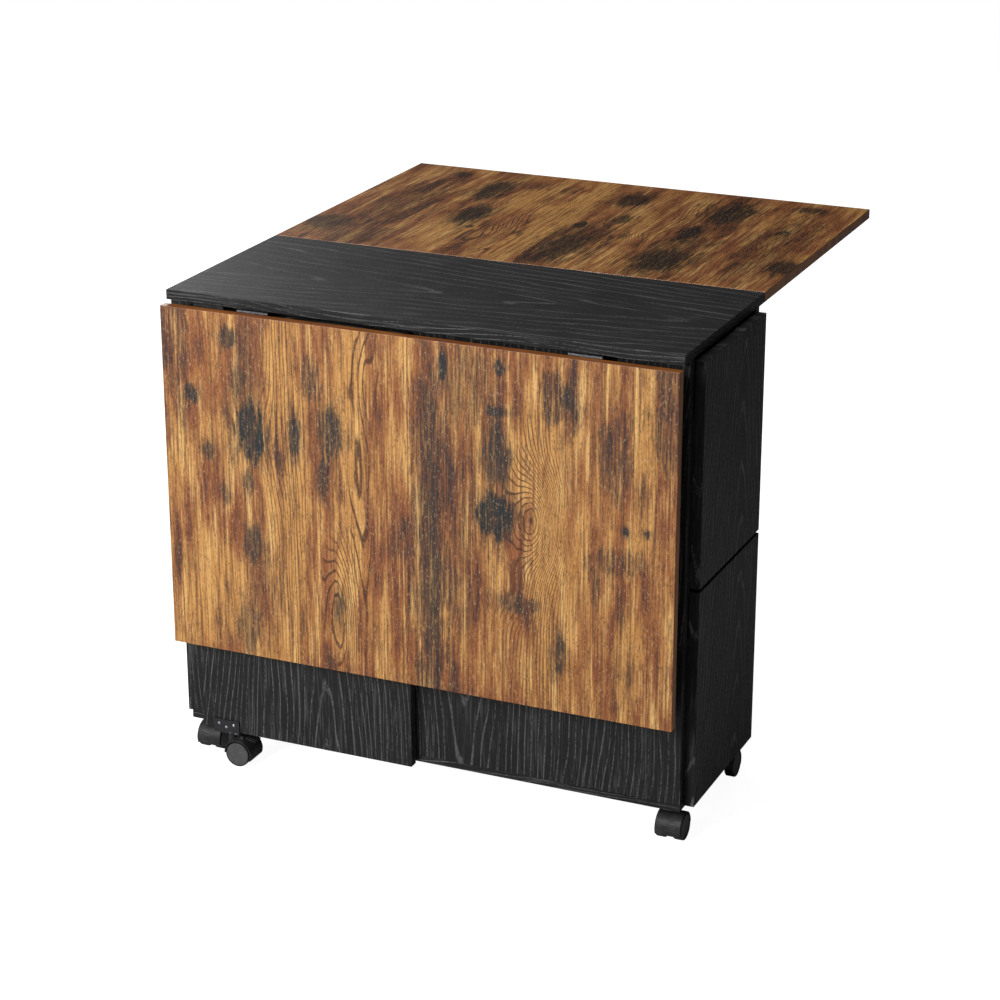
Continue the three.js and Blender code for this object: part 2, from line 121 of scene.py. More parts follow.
class Desk:
    def __init__(self, tree):
        self.tree = tree

    def put(self, socket, value):
        if isinstance(value, bpy.types.NodeSocket):
            self.tree.links.new(value, socket)
        else:
            socket.default_value = value

    def node(self, kind, values=None, **settings):
        made = self.tree.nodes.new(kind)
        for name, value in settings.items():
            setattr(made, name, value)
        for key, value in (values or {}).items():
            self.put(made.inputs[key], value)
        return made

    def math(self, operation, a, b=0.0):
        return self.node("ShaderNodeMath", {0: a, 1: b}, operation=operation).outputs[0]

    def add(self, a, b):
        return self.math("ADD", a, b)

    def mul(self, a, b):
        return self.math("MULTIPLY", a, b)

    def vector(self, operation, a, b=(0, 0, 0)):
        made = self.node("ShaderNodeVectorMath", {0: a, 1: b}, operation=operation)
        return made.outputs["Value" if operation in ("LENGTH", "DOT_PRODUCT") else "Vector"]

    def scaled(self, point, scale):
        return self.vector("MULTIPLY", point, scale)

    def noise(self, point, scale=(1, 1, 1), detail=2.0, rough=0.5):
        values = {"Vector": self.scaled(point, scale), "Scale": 1.0, "Detail": detail, "Roughness": rough}
        return self.node("ShaderNodeTexNoise", values).outputs["Fac"]

    def step(self, value, low, high, start=0.0, end=1.0):
        values = {"Value": value, "From Min": low, "From Max": high, "To Min": start, "To Max": end}
        made = self.node("ShaderNodeMapRange", values, interpolation_type="SMOOTHSTEP")
        return made.outputs[0]

    def blend(self, amount, a, b, mode="MIX"):
        made = self.node("ShaderNodeMix", {0: amount, 6: a, 7: b}, data_type="RGBA", blend_type=mode)
        return made.outputs[2]

    def split(self, point):
        return self.node("ShaderNodeSeparateXYZ", {0: point}).outputs

    def join(self, x, y, z=0.0):
        return self.node("ShaderNodeCombineXYZ", {0: x, 1: y, 2: z}).outputs[0]

    def use(self, group, values):
        made = self.tree.nodes.new("ShaderNodeGroup")
        made.node_tree = group
        for name, value in values.items():
            self.put(made.inputs[name], value)
        return made.outputs


def node_group(name, takes, gives):
    """A named effect with its own inputs and outputs: its tree, desk, inputs and outputs."""
    tree = bpy.data.node_groups.new(name, "ShaderNodeTree")
    for label, kind, value in takes:
        socket = tree.interface.new_socket(label, in_out="INPUT", socket_type=kind)
        if value is not None:
            socket.default_value = value
    for label, kind in gives:
        tree.interface.new_socket(label, in_out="OUTPUT", socket_type=kind)
    desk = Desk(tree)
    inputs = desk.node("NodeGroupInput").outputs
    outputs = desk.node("NodeGroupOutput").inputs
    return tree, desk, inputs, outputs


NUMBER, VECTOR, COLOUR = "NodeSocketFloat", "NodeSocketVector", "NodeSocketColor"

# %% [markdown]
# ## How a tree's rings meet a flat board
#
# A board sawn beside the heart of a log shows nested arches, called cathedrals, with straight
# lines on both sides. An image could hold that, but a formula stays sharp at any distance. The
# square root below is a hyperbola: round at the middle and straight further out, so each whole
# number of the field is one growth ring. A knot then swells the field, and rings bend round it.

# %% Grain field groups
takes = [("Point", VECTOR, (0, 0, 0)), ("Middle", NUMBER, 0.0), ("Bend", NUMBER, 25.0),
         ("Line Spacing", NUMBER, 8.0), ("Arch Spacing", NUMBER, 90.0), ("Wander", NUMBER, 1.0)]
cathedral, desk, given, out = node_group("growth rings", takes, [("Field", NUMBER)])
along, across = desk.split(given["Point"])[:2]
drift = desk.noise(given["Point"], (0.0022, 0.006, 0.01), 2)
ripple = desk.noise(given["Point"], (0.0055, 0.045, 0.02), 2)
off = desk.add(desk.math("SUBTRACT", across, given["Middle"]), desk.mul(desk.add(drift, -0.5), 70))
ratio = desk.math("DIVIDE", off, given["Bend"])
hyperbola = desk.math("SQRT", desk.add(desk.mul(ratio, ratio), 1))
lines = desk.mul(hyperbola, desk.math("DIVIDE", given["Bend"], given["Line Spacing"]))
field = desk.add(lines, desk.math("DIVIDE", along, given["Arch Spacing"]))
desk.put(out["Field"], desk.add(field, desk.mul(desk.add(ripple, -0.5), given["Wander"])))

takes = [("Field", NUMBER, 0.0), ("Point", VECTOR, (0, 0, 0)), ("Centre", VECTOR, (0, 0, 0)),
         ("Reach", VECTOR, (1, 1, 1)), ("Lift", NUMBER, 1.0)]
swell, desk, given, out = node_group("swell round a knot", takes, [("Field", NUMBER)])
offset = desk.vector("DIVIDE", desk.vector("SUBTRACT", given["Point"], given["Centre"]), given["Reach"])
fall = desk.math("EXPONENT", desk.mul(desk.vector("DOT_PRODUCT", offset, offset), -1))
desk.put(out["Field"], desk.add(given["Field"], desk.mul(fall, given["Lift"])))

takes = [("Mask", NUMBER, 0.0), ("Point", VECTOR, (0, 0, 0)), ("Centre", VECTOR, (0, 0, 0)),
         ("Reach", VECTOR, (1, 1, 1)), ("Ragged", NUMBER, 0.0), ("Depth", NUMBER, 1.0)]
stain, desk, given, out = node_group("stain with a ragged edge", takes, [("Mask", NUMBER)])
offset = desk.vector("DIVIDE", desk.vector("SUBTRACT", given["Point"], given["Centre"]), given["Reach"])
far = desk.add(desk.vector("LENGTH", offset), given["Ragged"])
mark = desk.mul(desk.step(far, 1.12, 0.66), given["Depth"])
desk.put(out["Mask"], desk.math("MAXIMUM", given["Mask"], mark))

takes = [("Point", VECTOR, (0, 0, 0))]
gives = [("Fibre", NUMBER), ("Hair", NUMBER), ("Speckle", NUMBER), ("Streak", NUMBER),
         ("Cloud", NUMBER)]
fibres, desk, given, out = node_group("wood fibres", takes, gives)
desk.put(out["Fibre"], desk.noise(given["Point"], (0.035, 0.42, 0.3), 3, 0.6))
desk.put(out["Hair"], desk.noise(given["Point"], (0.006, 0.36, 0.3), 2, 0.55))
desk.put(out["Speckle"], desk.noise(given["Point"], (0.22, 0.5, 0.3), 2, 0.6))
desk.put(out["Streak"], desk.noise(given["Point"], (0.007, 0.055, 0.05), 4, 0.6))
desk.put(out["Cloud"], desk.noise(given["Point"], (0.008, 0.014, 0.02), 3, 0.55))
print("grain groups:", len(bpy.data.node_groups))

# %% [markdown]
# ## The rustic laminate
#
# The leaves are chipboard faced with paper printed as reclaimed wood: golden early wood, thin
# brown ring lines, short fibres, long brown stains and charcoal round the knots. A ramp of
# colours alone looks like marble. Layers in the order that the printer lays them, from pale to
# dark, keep the fibres running through the stains.

# %% Rustic laminate group
takes = [("Point", VECTOR, (0, 0, 0)), ("Field", NUMBER, 0.0), ("Charcoal", NUMBER, 0.0),
         ("Brown", NUMBER, 0.0), ("Golden", NUMBER, 0.0), ("Rings", NUMBER, 0.8),
         ("Char", COLOUR, None), ("Umber", COLOUR, None), ("Line", COLOUR, None)]
gives = [("Colour", COLOUR), ("Roughness", NUMBER), ("Height", NUMBER)]
rustic, desk, given, out = node_group("rustic laminate", takes, gives)
wood = desk.use(fibres, {"Point": given["Point"]})
tone = desk.add(desk.mul(wood["Cloud"], 0.45), desk.mul(wood["Streak"], 0.55))
pale = desk.step(desk.add(tone, desk.mul(given["Golden"], 0.15)), 0.42, 0.64)
colour = desk.blend(pale, paint("9A5A32"), paint("CF9450"))
straw = desk.step(desk.add(desk.mul(wood["Streak"], 0.5), desk.mul(wood["Hair"], 0.5)), 0.50, 0.70)
colour = desk.blend(desk.mul(straw, 0.9), colour, paint("F4C67E"))
wave = desk.math("SINE", desk.mul(given["Field"], 2 * math.pi))
ring = desk.step(wave, 0.45, 0.98)
faint = desk.step(wood["Streak"], 0.40, 0.60, 1.0, 0.30)
ringed = desk.mul(desk.mul(ring, desk.math("MAXIMUM", faint, given["Rings"])), given["Rings"])
colour = desk.blend(ringed, colour, given["Line"])
hair = desk.step(wood["Hair"], 0.46, 0.34)
colour = desk.blend(desk.mul(hair, 0.60), colour, paint("5F3B28"))
short = desk.step(wood["Fibre"], 0.50, 0.34)
colour = desk.blend(desk.mul(short, 0.55), colour, paint("5A3A2A"))
worn = desk.add(given["Brown"], desk.step(tone, 0.47, 0.36, 0, 0.75))
hatch = desk.step(desk.add(wood["Fibre"], desk.mul(wood["Hair"], 0.6)), 0.92, 0.72, 0.45, 1.0)
colour = desk.blend(desk.mul(desk.math("MINIMUM", worn, 0.95), hatch), colour, given["Umber"])
scorch = desk.mul(given["Charcoal"], desk.step(wood["Fibre"], 0.64, 0.46, 0.62, 1.0))
colour = desk.blend(scorch, colour, given["Char"])
colour = desk.blend(desk.step(wood["Speckle"], 0.58, 0.74, 0, 0.36), colour, paint("F3D6A2"))
colour = desk.blend(desk.step(wood["Speckle"], 0.45, 0.28, 0, 0.62), colour, paint("261C1A"))
desk.put(out["Colour"], colour)
desk.put(out["Roughness"], desk.step(wood["Fibre"], 0.3, 0.7, 0.52, 0.40))
deep = desk.add(desk.mul(ring, 0.4), desk.mul(desk.math("MAXIMUM", short, hair), 0.6))
desk.put(out["Height"], desk.math("SUBTRACT", 1, desk.math("MAXIMUM", deep, scorch)))
print("rustic laminate nodes:", len(rustic.nodes))

# %% [markdown]
# ## The black oak laminate
#
# The cabinet's boards are faced with black foil embossed with open oak grain. Its lines are a
# little lighter than the ground because the raised grain catches light. A plain black with gloss
# would lose that, so rings, short pores and a faint haze are painted and also raised by bump.

# %% Black laminate group
takes = [("Point", VECTOR, (0, 0, 0)), ("Field", NUMBER, 0.0), ("Strength", NUMBER, 1.0)]
black_oak, desk, given, out = node_group("black oak laminate", takes, gives)
wood = desk.use(fibres, {"Point": given["Point"]})
wave = desk.math("SINE", desk.mul(given["Field"], 2 * math.pi))
ring = desk.step(wave, 0.76, 0.99)
broken = desk.step(desk.add(desk.mul(wood["Speckle"], 0.5), desk.mul(wood["Streak"], 0.5)), 0.38, 0.58)
ring = desk.mul(ring, broken)
pore = desk.step(desk.noise(given["Point"], (0.016, 0.42, 0.3), 2, 0.6), 0.50, 0.68)
patch = desk.step(wood["Cloud"], 0.38, 0.60, 0.25, 1.0)
pore = desk.mul(pore, patch)
light = desk.math("MAXIMUM", desk.mul(ring, 0.95), desk.mul(pore, 0.42))
light = desk.mul(light, given["Strength"])
ground = desk.blend(wood["Cloud"], paint("131313"), paint("202020"))
colour = desk.blend(light, ground, paint("6C6D6E"))
colour = desk.blend(desk.step(wood["Speckle"], 0.60, 0.78, 0, 0.16), colour, paint("6B6B6C"))
desk.put(out["Colour"], colour)
desk.put(out["Roughness"], desk.step(wood["Speckle"], 0.3, 0.7, 0.60, 0.44))
desk.put(out["Height"], desk.add(desk.mul(light, 0.8), desk.mul(wood["Fibre"], 0.3)))
print("black laminate nodes:", len(black_oak.nodes))

# %% [markdown]
# ## Wear and moulded grain
#
# Surfaces rub pale in patches. One group gives a soft cloudy mask and fine scratches, and another
# gives the fine pebble that a steel mould leaves on plastic.

# %% Wear and pebble groups
takes = [("Point", VECTOR, (0, 0, 0)), ("Size", NUMBER, 1.0), ("Amount", NUMBER, 0.5)]
wear, desk, given, out = node_group("patchy wear", takes, [("Mask", NUMBER), ("Scratch", NUMBER)])
sized = desk.vector("MULTIPLY", given["Point"], desk.join(given["Size"], given["Size"], given["Size"]))
cloud = desk.noise(sized, (1, 1, 1), 5, 0.65)
desk.put(out["Mask"], desk.mul(desk.step(cloud, 0.48, 0.70), given["Amount"]))
scratch = desk.step(desk.noise(sized, (0.6, 9, 9), 2), 0.60, 0.72)
desk.put(out["Scratch"], desk.mul(scratch, given["Amount"]))

takes = [("Point", VECTOR, (0, 0, 0)), ("Size", NUMBER, 1.0)]
pebble, desk, given, out = node_group("moulded pebble", takes, [("Height", NUMBER), ("Tint", NUMBER)])
sized = desk.vector("MULTIPLY", given["Point"], desk.join(given["Size"], given["Size"], given["Size"]))
desk.put(out["Height"], desk.noise(sized, (2.2, 2.2, 2.2), 3, 0.6))
desk.put(out["Tint"], desk.noise(sized, (0.12, 0.12, 0.12), 4, 0.6))
print("shared groups:", [g.name for g in bpy.data.node_groups])

# %% [markdown]
# ## From groups to finishes
#
# Each material turns an object's own coordinates into millimetres along and across the grain,
# calls its groups, and ends in one Principled shader. Grain direction is the one thing that
# differs from board to board, so the maker says it as an order of axes.

# %% Finish maker
AXES = {"x": 0, "y": 1, "z": 2}
MILLIMETRES = (1000, 1000, 1000)
ENDLESS = 1e6


def finish(name, specular=0.5, coat=0.0, metallic=0.0):
    """A new material: its desk, its coordinates in millimetres and its Principled shader."""
    material = bpy.data.materials.new(name)
    material.use_nodes = True
    material.node_tree.nodes.clear()
    desk = Desk(material.node_tree)
    shader = desk.node("ShaderNodeBsdfPrincipled", {"Metallic": metallic})
    shader.inputs["Specular IOR Level"].default_value = specular
    shader.inputs["Coat Weight"].default_value = coat
    desk.node("ShaderNodeOutputMaterial", {"Surface": shader.outputs[0]})
    place = desk.node("ShaderNodeTexCoord").outputs["Object"]
    return material, desk, desk.scaled(place, MILLIMETRES), shader.inputs


def emboss(desk, shader, height, depth):
    """Bump of a real depth in millimetres."""
    bump = desk.node("ShaderNodeBump", {"Height": height, "Distance": depth * MM, "Strength": 1.0})
    desk.put(shader["Normal"], bump.outputs[0])


def grain_point(desk, place, order, start=(0, 0, 0)):
    """Coordinates along the grain, across it and through the board, from a starting point."""
    parts = desk.split(place)
    turned = []
    for axis, origin in zip(order, start):
        sign = -1 if axis.isupper() else 1
        part = desk.add(parts[AXES[axis.lower()]], -origin)
        turned.append(desk.mul(part, sign))
    return desk.join(*turned)


def black_finish(name, order, start, middle, bend, spacing, arch, strength):
    """A black laminate whose arches sit at a middle line, with a spacing and a strength."""
    material, desk, place, shader = finish(name, specular=0.28)
    point = grain_point(desk, place, order, start)
    values = {"Point": point, "Middle": middle, "Bend": bend, "Line Spacing": spacing,
              "Arch Spacing": arch, "Wander": 0.9}
    field = desk.use(cathedral, values)["Field"]
    look = desk.use(black_oak, {"Point": point, "Field": field, "Strength": strength})
    rubbed = desk.use(wear, {"Point": place, "Size": 0.02, "Amount": 0.25})
    colour = desk.blend(desk.mul(rubbed["Mask"], 0.25), look["Colour"], paint("4A4948"))
    desk.put(shader["Base Color"], colour)
    desk.put(shader["Roughness"], desk.add(look["Roughness"], desk.mul(rubbed["Mask"], 0.2)))
    emboss(desk, shader, look["Height"], 0.12)
    return material


TOP_START = (0, CABINET_Y * 1000, 0)
black_upright = black_finish("black laminate, upright grain", "Zxy", (750, 0, 0), -165, 22, 9, -95, 0.75)
black_open_gate = black_finish("black laminate, open gate", "Zyx", (750, 0, 0), 90, 22, 9, -95, 0.75)
black_panel = black_finish("black laminate, panel", "Zxy", (750, 0, 0), 60, 24, 10, 120, 0.7)
black_top = black_finish("black laminate, top", "xyz", TOP_START, -18, 30, 20, 190, 0.62)
black_ends = black_finish("black laminate, drawer fronts", "zyx", TOP_START, 38, 24, 12, 85, 0.75)
black_inner = black_finish("black laminate, inner boards", "xyz", TOP_START, 60, 40, 16, 140, 0.6)
black_edge = black_finish("black edge banding", "xzy", (0, 742, 0), 40, 20, 5.5, 400, 0.85)
black_edge_upright = black_finish("black edge banding, upright", "Zyx", TOP_START, 40, 20, 6, 400, 0.8)
print("black finishes:", [m.name for m in bpy.data.materials if m.name.startswith("black")])

# %% [markdown]
# ## Two rustic leaves, each with its own knots
#
# A printed decor repeats, but the knots are what the eye remembers, so each leaf lists its own.
# Along is counted from the hinge and across from the leaf's middle, in millimetres. A charcoal
# spot, a brown stain or a golden band is a centre, a reach and a depth.

# %% Rustic finishes
FRONT_SWELLS = [((247, 194), (70, 36), -15), ((170, -250), (80, 34), -4), ((100, 40), (70, 30), 3),
                ((440, -112), (130, 26), 7), ((60, -75), (90, 18), 2.5), ((360, 170), (45, 30), -4),
                ((157, -122), (60, 22), 3)]
FRONT_CHARCOAL = [((37, -291), (17, 15), 0.85), ((100, -277), (30, 12), 0.6), ((128, -353), (15, 13), 0.9),
                  ((173, -257), (48, 27), 1.0), ((212, -327), (14, 10), 0.8), ((173, -187), (31, 12), 0.9),
                  ((157, -127), (40, 19), 0.85), ((233, -140), (34, 10), 0.7), ((277, -301), (17, 9), 0.6),
                  ((253, -263), (22, 9), 0.6), ((347, -259), (32, 17), 0.75), ((37, 49), (20, 9), 0.95),
                  ((27, 137), (12, 9), 0.95), ((90, 133), (9, 19), 0.9), ((155, 133), (52, 22), 0.8),
                  ((243, 130), (38, 31), 1.0), ((373, 167), (14, 36), 0.6), ((437, 230), (38, 9), 0.8),
                  ((239, 327), (8, 6), 0.9), ((238, 358), (8, 6), 0.9), ((60, 240), (20, 12), 0.7),
                  ((427, -118), (30, 10), 0.6), ((300, 30), (260, 17), 0.55), ((480, -270), (44, 20), 0.5)]
FRONT_BROWN = [((80, -157), (34, 20), 0.8), ((60, 227), (48, 36), 0.9), ((130, 310), (68, 27), 0.75),
               ((287, 317), (22, 42), 0.7), ((310, 32), (330, 44), 0.75), ((40, 388), (120, 26), 0.8),
               ((40, -380), (160, 26), 0.6), ((333, 282), (40, 9), 0.7), ((60, 80), (70, 60), 0.6),
               ((410, -250), (110, 26), 0.5), ((260, 80), (230, 26), 0.45), ((130, -262), (130, 30), 0.6)]
FRONT_GOLDEN = [((430, -330), (100, 60), 1.0), ((260, -205), (330, 44), 0.8), ((120, 352), (170, 20), 1.0),
                ((440, 330), (110, 22), 1.0), ((390, -112), (70, 14), 1.0), ((110, 215), (60, 50), 0.9),
                ((200, -100), (240, 30), 0.7), ((340, 215), (170, 36), 0.7)]
REAR_SWELLS = [((120, -100), (110, 30), 8), ((247, -160), (70, 36), 6), ((243, 110), (50, 30), 5),
               ((380, 190), (90, 30), -5), ((330, 300), (90, 30), 4)]
REAR_CHARCOAL = [((240, -172), (62, 26), 0.95), ((400, -205), (74, 26), 0.9), ((110, -365), (44, 36), 0.8),
                 ((110, 30), (95, 34), 0.8), ((100, 200), (76, 42), 0.9), ((267, 188), (56, 19), 1.0),
                 ((405, 208), (74, 32), 0.95), ((247, 12), (22, 12), 1.0), ((307, 60), (34, 14), 0.8),
                 ((427, 30), (42, 26), 0.85), ((170, -147), (9, 9), 0.8), ((133, 382), (46, 26), 0.85),
                 ((327, 320), (18, 16), 0.9), ((480, 320), (20, 26), 0.8), ((480, -300), (20, 16), 0.8)]
REAR_BROWN = [((250, -300), (200, 60), 0.7), ((150, 40), (150, 60), 0.8), ((160, 200), (140, 60), 0.8),
              ((400, 200), (110, 60), 0.7), ((250, 330), (220, 50), 0.6), ((60, -300), (70, 90), 0.7)]
REAR_GOLDEN = [((270, -35), (300, 34), 1.0), ((120, -150), (110, 60), 0.6), ((400, -120), (100, 40), 0.8)]

FRONT_RINGS = [((250, 192), (190, 52), 1.0), ((250, -82), (330, 20), 1.0), ((220, -205), (300, 38), 0.8),
               ((430, -115), (130, 40), 1.0), ((60, -75), (90, 30), 1.0), ((420, 190), (140, 60), 0.8)]
REAR_RINGS = [((120, -90), (120, 46), 1.0), ((280, -85), (160, 20), 0.9), ((360, 120), (180, 50), 0.8)]


FRONT_INKS = {"Char": "23282A", "Umber": "3F2D29", "Line": "57301A"}
REAR_INKS = {"Char": "100D0C", "Umber": "2C1A10", "Line": "3C1F0F"}
FULL_RING = 0.95


def stains(desk, point, ragged, marks):
    """The deepest of a list of marks at each point, from 0 to 1."""
    mask = 0.0
    for centre, reach, depth in marks:
        values = {"Mask": mask, "Point": point, "Centre": (*centre, 0), "Reach": (*reach, ENDLESS),
                  "Ragged": ragged, "Depth": depth}
        mask = desk.use(stain, values)["Mask"]
    return mask


def rustic_finish(name, order, start, swells, charcoal, brown, golden, rings, gloss, least_ring, inks):
    """A leaf's laminate, with its own knots, stains, ring strength, gloss and ink colours."""
    material, desk, place, shader = finish(name, specular=gloss)
    point = grain_point(desk, place, order, start)
    values = {"Point": point, "Middle": -85, "Bend": 20, "Line Spacing": 5.4,
              "Arch Spacing": 190, "Wander": 1.6}
    field = desk.use(cathedral, values)["Field"]
    for centre, reach, lift in swells:
        values = {"Field": field, "Point": point, "Centre": (*centre, 0),
                  "Reach": (*reach, ENDLESS), "Lift": lift}
        field = desk.use(swell, values)["Field"]
    fray = desk.add(desk.noise(point, (0.022, 0.13, 0.1), 5, 0.72), -0.5)
    soft = desk.add(desk.noise(point, (0.012, 0.07, 0.1), 5, 0.75), -0.5)
    scorched = stains(desk, point, desk.mul(fray, 2.6), charcoal)
    spread = [(centre, (along * 1.5, wide * 1.6), depth) for centre, (along, wide), depth in charcoal]
    halo = desk.mul(stains(desk, point, desk.mul(soft, 3.0), spread), 0.6)
    stained = desk.math("MAXIMUM", stains(desk, point, desk.mul(soft, 3.4), brown), halo)
    ringed = desk.add(desk.mul(stains(desk, point, soft, rings), FULL_RING - least_ring), least_ring)
    values = {"Point": point, "Field": field, "Charcoal": scorched, "Brown": stained,
              "Golden": stains(desk, point, soft, golden), "Rings": ringed}
    values.update({ink: paint(code) for ink, code in inks.items()})
    look = desk.use(rustic, values)
    desk.put(shader["Base Color"], look["Colour"])
    desk.put(shader["Roughness"], look["Roughness"])
    emboss(desk, shader, look["Height"], 0.10)
    return material


HINGE_TOP = (LEAF_PIN.z * 1000, 0, 0)
REAR_HINGE = ((CABINET_Y - LEAF_PIN.y) * 1000, 0, 0)
rustic_front = rustic_finish("rustic laminate, front leaf", "Zxy", HINGE_TOP,
                             FRONT_SWELLS, FRONT_CHARCOAL, FRONT_BROWN, FRONT_GOLDEN, FRONT_RINGS,
                             0.4, 0.30, FRONT_INKS)
rustic_rear = rustic_finish("rustic laminate, rear leaf", "yxz", REAR_HINGE,
                            REAR_SWELLS, REAR_CHARCOAL, REAR_BROWN, REAR_GOLDEN, REAR_RINGS,
                            0.22, 0.55, REAR_INKS)
print("marks on the front leaf:", len(FRONT_CHARCOAL) + len(FRONT_BROWN) + len(FRONT_GOLDEN))

# %% [markdown]
# ## The plainer finishes
#
# Edge banding is plastic strip, so it is even in colour with only a drawn grain and a rubbed
# corner. The hinge steel is painted dark as shade, because the hinges sit in the shaded gap under
# the top board. Caster brackets are dark-painted steel, and the casters are moulded in black
# plastic. Drawer boxes are grey-brown foil on chipboard.

# %% Plainer finishes
def banding_finish(name, dark, pale, order):
    material, desk, place, shader = finish(name, specular=0.5, coat=0.15)
    point = grain_point(desk, place, order)
    wood = desk.use(fibres, {"Point": point})
    colour = desk.blend(desk.step(wood["Streak"], 0.35, 0.65), paint(dark), paint(pale))
    rubbed = desk.use(wear, {"Point": place, "Size": 0.05, "Amount": 0.6})
    colour = desk.blend(desk.mul(rubbed["Mask"], 0.4), colour, paint(pale))
    desk.put(shader["Base Color"], colour)
    desk.put(shader["Roughness"], desk.step(wood["Fibre"], 0.3, 0.7, 0.5, 0.34))
    emboss(desk, shader, wood["Fibre"], 0.05)
    return material


def metal_finish(name, dark, pale, rough, metallic, brushed):
    material, desk, place, shader = finish(name, metallic=metallic)
    worn = desk.use(wear, {"Point": place, "Size": 0.16, "Amount": 1.0})
    fine = desk.noise(place, brushed, 3, 0.6)
    desk.put(shader["Base Color"], desk.blend(worn["Mask"], paint(pale), paint(dark)))
    low = desk.step(fine, 0.3, 0.7, rough - 0.08, rough + 0.12)
    desk.put(shader["Roughness"], desk.add(low, desk.mul(worn["Scratch"], 0.1)))
    emboss(desk, shader, desk.add(fine, desk.mul(worn["Scratch"], -0.5)), 0.03)
    return material


def plastic_finish(name, dark, pale, rough, size, coat=0.0, specular=0.5):
    material, desk, place, shader = finish(name, specular=specular, coat=coat)
    grain = desk.use(pebble, {"Point": place, "Size": size})
    scuffed = desk.use(wear, {"Point": place, "Size": 0.09, "Amount": 0.7})
    colour = desk.blend(desk.step(grain["Tint"], 0.35, 0.65), paint(dark), paint(pale))
    colour = desk.blend(desk.mul(scuffed["Scratch"], 0.4), colour, paint("8A8884"))
    desk.put(shader["Base Color"], colour)
    scuff = desk.mul(scuffed["Mask"], 0.18)
    desk.put(shader["Roughness"], desk.add(scuff, desk.mul(grain["Height"], rough * 2)))
    emboss(desk, shader, grain["Height"], 0.06)
    return material


orange_banding = banding_finish("orange-brown edge banding", "8A4A1C", "B4702E", "xyz")
orange_banding_upright = banding_finish("orange-brown edge banding, upright", "8A4A1C", "B4702E", "zyx")
# The hinge steel's dark base colours are painted shade, for hinges that sit in the shaded gap under the top.
hinge_steel = metal_finish("hinge steel darkened as painted shade", "232325", "3C3C3F", 0.45, 0.8, (0.4, 3.0, 3.0))
bright_screw = metal_finish("bright screw steel", "8F8E8A", "D5D5D2", 0.24, 1.0, (3.0, 3.0, 3.0))
dark_steel = metal_finish("dark painted steel", "1D1D20", "2E2E33", 0.42, 0.35, (2.0, 2.0, 2.0))
caster_black = plastic_finish("caster plastic", "2A2A2B", "373738", 0.50, 0.8, 0.0, 0.25)
cap_grey = plastic_finish("caster cap plastic", "48484A", "555556", 0.40, 0.9, 0.05)
tread_black = plastic_finish("wheel tread", "101010", "1B1B1B", 0.5, 0.5)
drawer_foil = banding_finish("drawer box foil", "35312C", "4A453D", "xyz")
hardboard = plastic_finish("drawer bottom board", "3A3029", "57493C", 0.62, 0.35)
print("finishes:", len(bpy.data.materials))

# %% [markdown]
# ## Boards with banded edges
#
# A flat-pack board is two broad laminated faces and four narrow banded edges, with a hair of
# rounding where the band is trimmed. The quickest way is a cube stretched to the measured box,
# with every edge bevelled. Faces that look along the board's thin axis keep the laminate, and
# the rest take the banding.

# %% Making and finishing pieces
def piece(name, bm, body, slot, *materials, smooth=False):
    """Turns a bmesh into a finished object that rides on a body."""
    bmesh.ops.recalc_face_normals(bm, faces=bm.faces)
    mesh = bpy.data.meshes.new(name)
    for face in bm.faces:
        face.smooth = smooth
    bm.to_mesh(mesh)
    bm.free()
    for material in materials:
        mesh.materials.append(material)
    made = bpy.data.objects.new(name, mesh)
    bpy.context.scene.collection.objects.link(made)
    if smooth:
        mesh.set_sharp_from_angle(angle=math.radians(35))
    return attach(made, body)


def add_block(bm, low, high, round_off=0.0006, steps=2):
    """A bevelled block between two corners, added to a bmesh. Returns its vertices."""
    low, high = Vector(low), Vector(high)
    made = bmesh.ops.create_cube(bm, size=1)["verts"]
    size = high - low
    bmesh.ops.scale(bm, vec=size, verts=made)
    bmesh.ops.translate(bm, vec=(low + high) / 2, verts=made)
    edges = list({e for v in made for e in v.link_edges})
    if round_off:
        bmesh.ops.bevel(bm, geom=edges, offset=round_off, offset_type="OFFSET", segments=steps,
                        profile=0.5, affect="EDGES", material=-1, clamp_overlap=True)
    return made


def band_edges(bm, thin, upright=None):
    """Gives slot 1 to faces that don't look along the thin axis, and slot 2 to upright ones."""
    bm.normal_update()
    for face in bm.faces:
        facing = [abs(c) for c in face.normal]
        if facing[AXES[thin]] < 0.9:
            face.material_index = 1
            if upright is not None and facing[AXES[upright]] > 0.7:
                face.material_index = 2


def board(node, body, thin, slot, materials, upright=None):
    """A banded board in place of a measured one, the same size, riding on a body."""
    bm = bmesh.new()
    add_block(bm, *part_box(node))
    band_edges(bm, thin, upright)
    made = piece(f"{node}_board", bm, body, slot, *materials)
    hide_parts(node)


# %% The cabinet's boards and the two leaves
board("top_board", "cabinet", "z", "black_laminate", (black_top, black_edge, black_edge), upright="x")
for name in ("front_panel", "rear_panel"):
    board(name, "cabinet", "y", "black_laminate",
          (black_panel, black_edge, black_edge_upright), upright="x")
board("front_leaf", "front_leaf", "y", "rustic_laminate",
      (rustic_front, orange_banding, orange_banding_upright), upright="x")
board("rear_leaf", "rear_leaf", "z", "rustic_laminate",
      (rustic_rear, orange_banding, orange_banding_upright), upright="x")
for side in ("front", "rear"):
    thin, face = ("y", black_upright) if side == "front" else ("x", black_open_gate)
    board(f"{side}_gate", f"{side}_gate", thin, "black_laminate",
          (face, black_edge, black_edge_upright), upright="x" if thin == "y" else "y")
    board(f"{side}_gate_glide", f"{side}_gate", thin, "caster_plastic", (caster_black, caster_black))

# %% [markdown]
# ## Drawers
#
# Each drawer is a laminated front screwed to a box of four thin walls round a hardboard bottom.
# One hollow block would do, but the walls are real boards that meet in butt joints, so each is a
# block of its own with a hairline between.

# %% Drawers
WALL = 0.012
HAIRLINE = 0.0002


